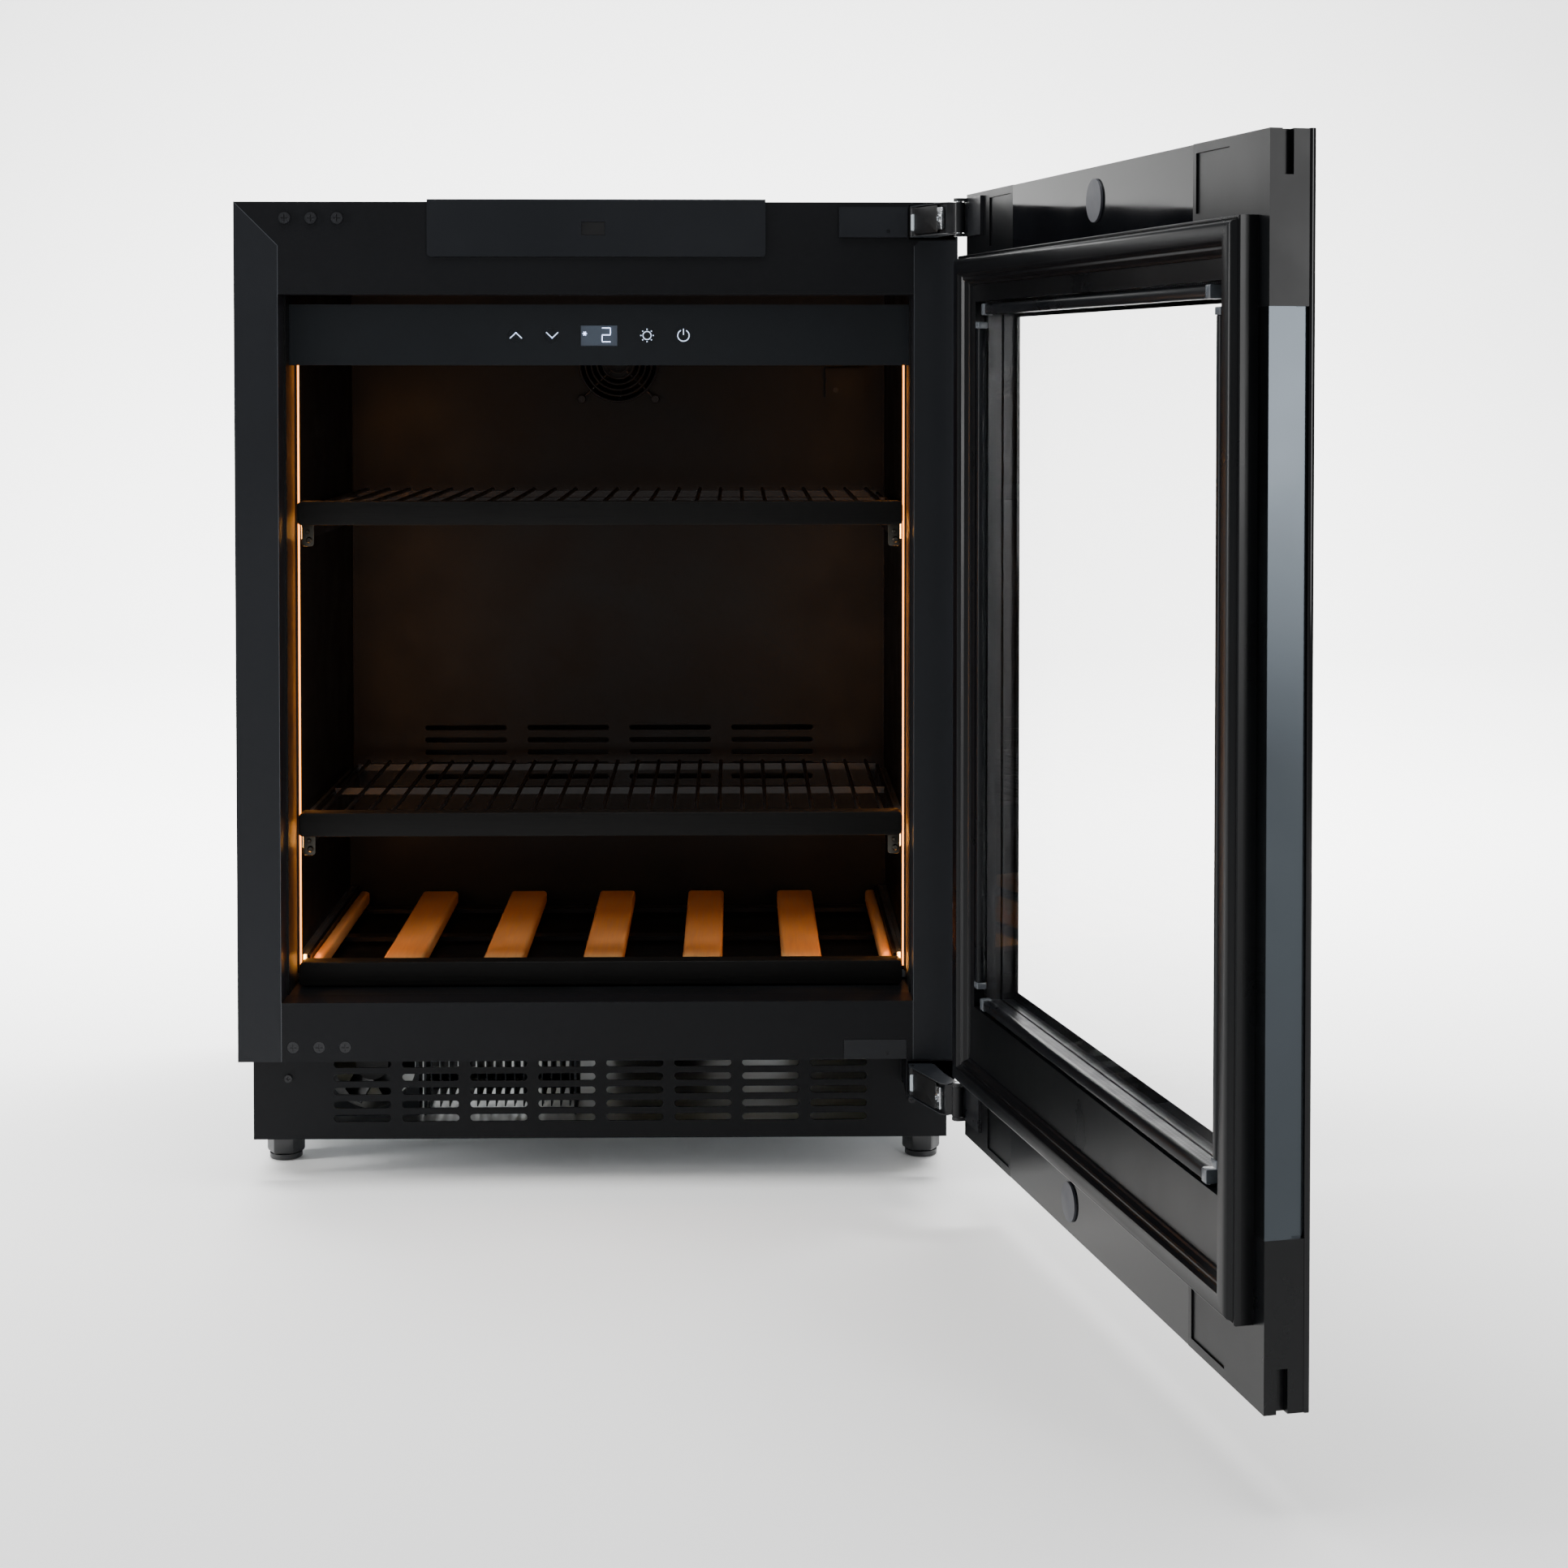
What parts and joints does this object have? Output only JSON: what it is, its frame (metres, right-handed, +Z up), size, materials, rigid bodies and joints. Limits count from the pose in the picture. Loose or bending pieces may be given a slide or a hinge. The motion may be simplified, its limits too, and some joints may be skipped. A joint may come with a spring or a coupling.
{
  "type": "undercounter refrigerator",
  "caption": "Undercounter drinks refrigerator with a glass door, pull-out can shelves and a slatted bottle shelf on levelling feet.",
  "frame": {"origin": "on the floor, midway between the four levelling feet", "axes": "+Z up, -Y towards the front, +X to the right seen from the front"},
  "size_m": [0.7506, 1.1782, 0.82],
  "materials": {
    "black_powder_coat": "fine textured black powder coat on folded steel",
    "zinc_plate": "zinc plated steel",
    "insulation_foam": "rigid polyurethane foam",
    "liner_plastic": "vacuum formed black plastic, fine grain",
    "grey_plastic": "moulded light grey plastic",
    "black_plastic": "moulded black plastic",
    "hinge_zinc": "plated die cast zinc",
    "outer_glass": "black edged float glass",
    "clear_glass": "low emissivity float glass",
    "gloss_black": "black enamelled glass band",
    "spacer_aluminium": "perforated aluminium spacer and anodised profile",
    "gasket_vinyl": "extruded soft vinyl with a magnet strip",
    "light_tube": "opal light tube",
    "led_amber": "warm white lamp strip",
    "display_lens": "lit grey display window",
    "key_light": "backlit touch symbols",
    "wire_black": "black coated steel wire",
    "dark_oak": "black stained oak",
    "beech": "oiled beech",
    "fin_aluminium": "aluminium fins on copper tube",
    "compressor_black": "black painted steel shell"
  },
  "bodies": {
    "cabinet": {"outer_casing": "black_powder_coat", "back_panel": "zinc_plate", "base_tray": "zinc_plate", "insulation_foam": "insulation_foam", "inner_liner": "liner_plastic", "frame_stiles": "black_powder_coat", "top_rail": "black_powder_coat", "bottom_rail": "black_powder_coat", "power_inlet": "black_plastic", "control_box": "grey_plastic", "fixing_plate": "black_powder_coat", "door_sensor": "black_plastic", "hinge_pockets": "black_powder_coat", "hinge_covers": "black_powder_coat", "evaporator": "fin_aluminium", "control_fascia": "liner_plastic", "display_module": "display_lens", "touch_keys": "key_light", "led_strips": "led_amber", "evaporator_cover": "liner_plastic", "fan_guard": "wire_black", "fan_housing": "black_plastic", "sensor_cover": "liner_plastic", "cabinet_screws": "zinc_plate", "fixed_runners": "zinc_plate", "plinth_grille": "black_powder_coat", "condenser": "fin_aluminium", "compressor": "compressor_black"},
    "upper_arm": {"upper_hinge_arm": "hinge_zinc", "upper_arm_cover": "black_plastic"},
    "lower_arm": {"lower_hinge_arm": "hinge_zinc", "lower_arm_cover": "black_plastic"},
    "door": {"hinge_pins": "hinge_zinc", "door_brackets": "hinge_zinc", "door_outer_glass": "outer_glass", "door_side_profiles": "spacer_aluminium", "door_bands": "gloss_black", "corner_caps": "black_plastic", "door_inner_panes": "clear_glass", "door_spacer_bars": "spacer_aluminium", "door_liner_frame": "black_plastic", "door_gasket": "gasket_vinyl", "door_light_strips": "light_tube", "door_discs": "grey_plastic"},
    "upper_shelf_body": {"upper_shelf": "wire_black", "upper_shelf_trim": "dark_oak"},
    "middle_shelf_body": {"middle_shelf": "wire_black", "middle_shelf_trim": "dark_oak"},
    "bottle_shelf_body": {"bottle_shelf": "wire_black", "bottle_shelf_trim": "dark_oak", "bottle_slats": "beech"},
    "upper_members": {"upper_runner_members": "zinc_plate"},
    "middle_members": {"middle_runner_members": "zinc_plate"},
    "bottle_members": {"bottle_runner_members": "zinc_plate"},
    "evaporator_fan": {"fan_rotor": "black_plastic"},
    "condenser_fan": {"condenser_fan_rotor": "black_plastic"},
    "foot_front_left": {"feet_front_left": "black_plastic"},
    "foot_front_right": {"feet_front_right": "black_plastic"},
    "foot_back_left": {"feet_back_left": "black_plastic"},
    "foot_back_right": {"feet_back_right": "black_plastic"}
  },
  "joints": [
    {"name": "door_swing", "type": "hinge", "parent": "upper_arm", "child": "door", "pos_m": [0.2925, -0.35147, 0.4], "axis": [0, 0, 1], "range_deg": [-102.2, 8]},
    {"name": "upper_arm_slide", "type": "slide", "parent": "cabinet", "child": "upper_arm", "axis": [0, -1, 0], "range_m": [-0.0613, 0.0049]},
    {"name": "lower_arm_slide", "type": "slide", "parent": "cabinet", "child": "lower_arm", "axis": [0, -1, 0], "range_m": [-0.0613, 0.0049]},
    {"name": "upper_shelf_slide", "type": "slide", "parent": "upper_members", "child": "upper_shelf_body", "axis": [0, -1, 0], "range_m": [0, 0.13]},
    {"name": "upper_members_slide", "type": "slide", "parent": "cabinet", "child": "upper_members", "axis": [0, -1, 0], "range_m": [0, 0.13]},
    {"name": "middle_shelf_slide", "type": "slide", "parent": "middle_members", "child": "middle_shelf_body", "axis": [0, -1, 0], "range_m": [0, 0.13]},
    {"name": "middle_members_slide", "type": "slide", "parent": "cabinet", "child": "middle_members", "axis": [0, -1, 0], "range_m": [0, 0.13]},
    {"name": "bottle_shelf_slide", "type": "slide", "parent": "bottle_members", "child": "bottle_shelf_body", "axis": [0, -1, 0], "range_m": [0, 0.13]},
    {"name": "bottle_members_slide", "type": "slide", "parent": "cabinet", "child": "bottle_members", "axis": [0, -1, 0], "range_m": [0, 0.13]},
    {"name": "evaporator_fan_spin", "type": "hinge", "parent": "cabinet", "child": "evaporator_fan", "pos_m": [0, 0.145, 0.688], "axis": [0, 1, 0], "continuous": true},
    {"name": "condenser_fan_spin", "type": "hinge", "parent": "cabinet", "child": "condenser_fan", "pos_m": [-0.201, -0.17, 0.079], "axis": [0, 1, 0], "continuous": true},
    {"name": "foot_front_left_screw", "type": "slide", "parent": "cabinet", "child": "foot_front_left", "axis": [0, 0, -1], "range_m": [0, 0.03]},
    {"name": "foot_front_right_screw", "type": "slide", "parent": "cabinet", "child": "foot_front_right", "axis": [0, 0, -1], "range_m": [0, 0.03]},
    {"name": "foot_back_left_screw", "type": "slide", "parent": "cabinet", "child": "foot_back_left", "axis": [0, 0, -1], "range_m": [0, 0.03]},
    {"name": "foot_back_right_screw", "type": "slide", "parent": "cabinet", "child": "foot_back_right", "axis": [0, 0, -1], "range_m": [0, 0.03]}
  ],
  "couplings": [
    {"joint": "upper_arm_slide", "follows": "door_swing", "m_per_rad": 0.03431},
    {"joint": "lower_arm_slide", "follows": "door_swing", "m_per_rad": 0.03431},
    {"joint": "upper_members_slide", "follows": "upper_shelf_slide", "ratio": 1},
    {"joint": "middle_members_slide", "follows": "middle_shelf_slide", "ratio": 1},
    {"joint": "bottle_members_slide", "follows": "bottle_shelf_slide", "ratio": 1}
  ]
}
